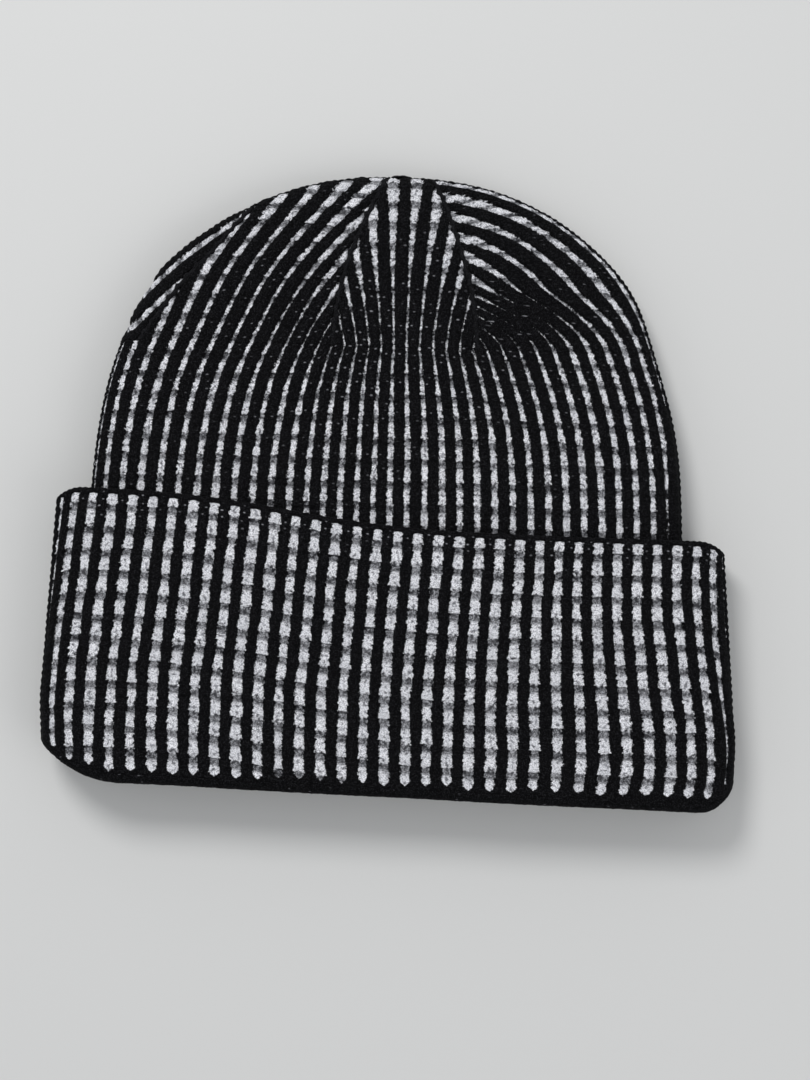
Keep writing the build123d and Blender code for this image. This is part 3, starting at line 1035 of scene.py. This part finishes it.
def right_gore(name, on_back=False, crossing=False):
    """The gore from the middle round the right fold to the back's side dart.

    Above the crease its ribs spread apart towards the dart. crossing says that its ribs run on over the
    edge of the crown, as they do at the front's left side.
    """
    h = heights_up_to(right_dart_x, 1, 170)
    row_y = h + BODY_BASE_Y
    left = angle_at(right_dart_x(row_y), h)
    right = np.where(row_y < SIDE_DART[-1][1], pi - angle_at(-side_dart_x(row_y), h), pi / 2)
    grid, angle = gore_grid(h, left, right, 240)
    beyond = angle > pi / 2
    x, y = np.where(beyond, -grid[..., 0], grid[..., 0]), grid[..., 1]
    ribs, length = side_ribs(shifted(x, y), y - BODY_BASE_Y)
    spread = 1 - 0.32 * smooth(y, CROWN_BASE_Y + 1, CROWN_BASE_Y + 22)
    ribs = np.where(beyond, ribs + HALF_RIBS, FOLD_RIGHT - (FOLD_RIGHT - ribs) * spread)
    if crossing:
        mirrored, mirrored_length = beyond_dart_ribs(np.where(beyond, x, -np.abs(x)), y)
        fold_x = -outline_half(h, 1e-4)
        at_fold, fold_length = beyond_dart_ribs(fold_x, row_y)
        jump = np.where(row_y < SIDE_DART[-1][1], at_fold + FOLD_LEFT, 0)
        rise = np.where(row_y < SIDE_DART[-1][1], fold_length - side_ribs(fold_x, h)[1], 0)
        fold_column = np.argmax(beyond, axis=1)
        fold_column = np.where(beyond.any(axis=1), fold_column, beyond.shape[1] - 1)
        away = along(grid)
        away = np.abs(away - away[np.arange(len(h)), fold_column][:, None])
        settle = np.exp(-((away / 30.0) ** 2))
        ribs = np.where(beyond, mirrored + HALF_RIBS, ribs + jump[:, None] * settle)
        length = np.where(beyond, mirrored_length, length + rise[:, None] * settle)
    share = np.minimum(grey_share(x, y) + 0.26 * by_dart(x, y, right_dart_x(y)) * ~beyond, WIDEST_SHARE)
    return knit_piece(name, grid, (ribs, length / ROW), share, on_back)


def on_face(points, normals, on_back):
    """A seam's path as worked out for the front, or turned over to the back, as the hat lies."""
    if on_back:
        return leaned(to_back(points)), normals * [-1, 1, -1]
    return leaned(points), normals


def surface_path(x, y, on_back=False, lift=-DART_SUNK):
    """Points along a line on one face, with the outward direction at each."""
    h = y - BODY_BASE_Y
    angle = angle_at(x, h)

    def at(da, dh):
        place = np.sin(np.clip(angle + da, -pi / 2, pi / 2)) * outline_half(h)
        return body_point(place, np.minimum(h + dh, CROWN_RISE), 1.0)

    across = at(0.01, 0) - at(-0.01, 0)
    up = at(0, 0) - at(0, -0.5)
    normal = np.cross(across, up)
    normal /= np.maximum(np.linalg.norm(normal, axis=1, keepdims=True), 1e-9)
    return on_face(at(0, 0) + normal * lift, normal, on_back)


def side_dart_path(on_back):
    """A side dart's seam, up one face and then along the very edge of the crown to its top."""
    y = np.linspace(CROWN_BASE_Y, SIDE_DART[-1][1] - 1.0, 50)
    face = surface_path(side_dart_x(y), y, on_back)
    crest = crest_path(SIDE_DART[-1][0] - 0.5, -3.6, on_back)
    return np.concatenate([face[0], crest[0]]), np.concatenate([face[1], crest[1]])


def crest_path(x_from, x_to, on_back, count=40):
    """Points along the very edge of the crown, left of the middle or as far right of it."""
    x = np.linspace(x_from, x_to, count)
    h = CROWN_RISE * (1 - (np.abs(x) / BODY_HALF) ** CROWN_POWER) ** (1 / CROWN_POWER)
    points = body_point(x, h, 1.0)
    ahead = np.gradient(points, axis=0)
    normal = np.cross([0, 0, 1], ahead)
    normal /= np.linalg.norm(normal, axis=1, keepdims=True)
    return on_face(points - normal * DART_SUNK, normal, on_back)


def make_closure():
    """The drawn-together stitches at the top: a small pucker of short folds."""
    rings, spokes = 9, 40
    radius = np.linspace(0, 1, rings)[:, None]
    turn = np.linspace(0, 2 * pi, spokes, endpoint=False)[None, :]
    folds = 0.22 * np.cos(5 * turn) * radius * (1.2 - radius)
    x = 3.6 * radius * np.cos(turn) * (1 + 0.05 * np.cos(5 * turn))
    z = 3.0 * radius * np.sin(turn)
    y = 0.9 * np.sqrt(np.maximum(1 - radius**2, 0)) * (1 - 0.45 * np.exp(-((radius / 0.25) ** 2))) + folds
    centre = body_point(np.array(0.0), np.array(CROWN_RISE), 1.0)
    points = np.stack([x, y - 0.7, z], axis=-1) + centre
    vertices = points.reshape(-1, 3)
    polygons = [quads_of(rings, spokes, 0, True, False)]
    return make_mesh("crown_closure", vertices, polygons, {}, seam_yarn)


def column_path(grid, column):
    """A path up one column of a closed grid, a little under its surface."""
    normal = normals_of(grid, True)[:, column]
    return grid[:, column] - normal * BACK_SEAM_SUNK, normal


# ---------------------------------------------------------------- build
cuff, cuff_outer, band_grid = make_cuff()
body, tube_surface = make_tube()
gores = {
    "front": middle_gore("gore_front", left_dart_x, right_dart_x),
    "front_left": left_gore("gore_front_left"),
    "front_right": right_gore("gore_front_right"),
    "back_right": left_gore("gore_back_right", on_back=True),
    "back_left": right_gore("gore_back_left", on_back=True, crossing=True),
    "back_left_half": middle_gore("gore_back_left_half", back_seam_x, right_dart_x, on_back=True),
    "back_right_half": middle_gore("gore_back_right_half", left_dart_x, back_seam_x, on_back=True),
}

dart_y = np.linspace(CROWN_BASE_Y, CROWN_Y - 0.8, 60)
seam_y = np.linspace(CROWN_BASE_Y + 0.3, CROWN_Y - 1.0, 60)
seam_paths = {
    "dart_seam_front_left": [surface_path(left_dart_x(dart_y), dart_y)],
    "dart_seam_front_right": [surface_path(right_dart_x(dart_y), dart_y)],
    "dart_seam_back_left": [surface_path(right_dart_x(dart_y), dart_y, on_back=True)],
    "dart_seam_back_right": [surface_path(left_dart_x(dart_y), dart_y, on_back=True)],
    "dart_seam_side_left": [side_dart_path(on_back=False)],
    "dart_seam_side_right": [side_dart_path(on_back=True)],
    "back_seam_cuff": [column_path(cuff_outer, 0)],
    "back_seam_band": [column_path(band_grid, 0)],
    "back_seam_body": [
        column_path(tube_surface, 0),
        surface_path(back_seam_x(seam_y), seam_y, on_back=True, lift=-BACK_SEAM_SUNK),
    ],
}
seams = {name: chain(name, paths, SEAM_WIDTH, SEAM_HEIGHT) for name, paths in seam_paths.items()}

cad_nodes = {
    **cuff,
    "body_tube": body,
    "crown_closure": make_closure(),
    **{"gore_" + key: gore for key, gore in gores.items()},
    **seams,
}
for node, piece in cad_nodes.items():
    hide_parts(node)


# ---------------------------------------------------------------- camera, light and floor
LOOK_AT = Vector((0.0049, -0.017, 0.016))
CAMERA_DISTANCE = 0.75
CAMERA_ELEVATION = 87.5
CAMERA_ROLL = 1.8
FRAME_WIDTH = 0.2615  # metres across the picture at the hat
FRAME_ASPECT = 1080 / 810


def add_camera():
    elevation = radians(CAMERA_ELEVATION)
    roll = radians(CAMERA_ROLL)
    tilt = pi / 2 - elevation
    turn = Matrix.Rotation(roll, 3, "Z") @ Matrix.Rotation(tilt, 3, "X")
    data = bpy.data.cameras.new("camera")
    half = atan(FRAME_WIDTH * FRAME_ASPECT / 2 / CAMERA_DISTANCE)
    data.lens = data.sensor_width / 2 / np.tan(half)
    camera = bpy.data.objects.new("camera", data)
    camera.location = LOOK_AT + turn @ Vector((0, 0, CAMERA_DISTANCE))
    camera.rotation_euler = turn.to_euler()
    bpy.context.scene.collection.objects.link(camera)
    bpy.context.scene.camera = camera


def add_light(name, place, size, power):
    data = bpy.data.lights.new(name, "AREA")
    data.shape = "DISK"
    data.size = size
    data.energy = power
    light = bpy.data.objects.new(name, data)
    light.location = place
    light.rotation_euler = (Vector((0, 0, 0)) - Vector(place)).to_track_quat("-Z", "Y").to_euler()
    bpy.context.scene.collection.objects.link(light)


def add_floor():
    material = bpy.data.materials.new("floor")
    n = Nodes(material)
    shader = n.new("ShaderNodeBsdfPrincipled")
    shader.inputs["Base Color"].default_value = (0.62, 0.62, 0.61, 1)
    shader.inputs["Roughness"].default_value = 0.95
    n.link(shader.outputs[0], n.new("ShaderNodeOutputMaterial").inputs[0])
    size = 40.0  # far enough for the floor to reach the horizon in a low view
    corners = [(-size, -size, 0), (size, -size, 0), (size, size, 0), (-size, size, 0)]
    mesh = bpy.data.meshes.new("floor")
    mesh.from_pydata(corners, [], [(0, 1, 2, 3)])
    mesh.materials.append(material)
    floor = bpy.data.objects.new("floor", mesh)
    bpy.context.scene.collection.objects.link(floor)


def add_world():
    world = bpy.data.worlds.new("world")
    world.use_nodes = True
    world.node_tree.nodes["Background"].inputs["Color"].default_value = (0.95, 0.97, 1.0, 1)
    world.node_tree.nodes["Background"].inputs["Strength"].default_value = 0.60
    bpy.context.scene.world = world


bpy.context.scene.view_settings.view_transform = "Standard"
add_camera()
add_floor()
add_world()
add_light("key", (-0.45, 0.75, 1.1), 0.5, 10)
add_light("fill", (0.9, -0.5, 0.9), 0.9, 3)
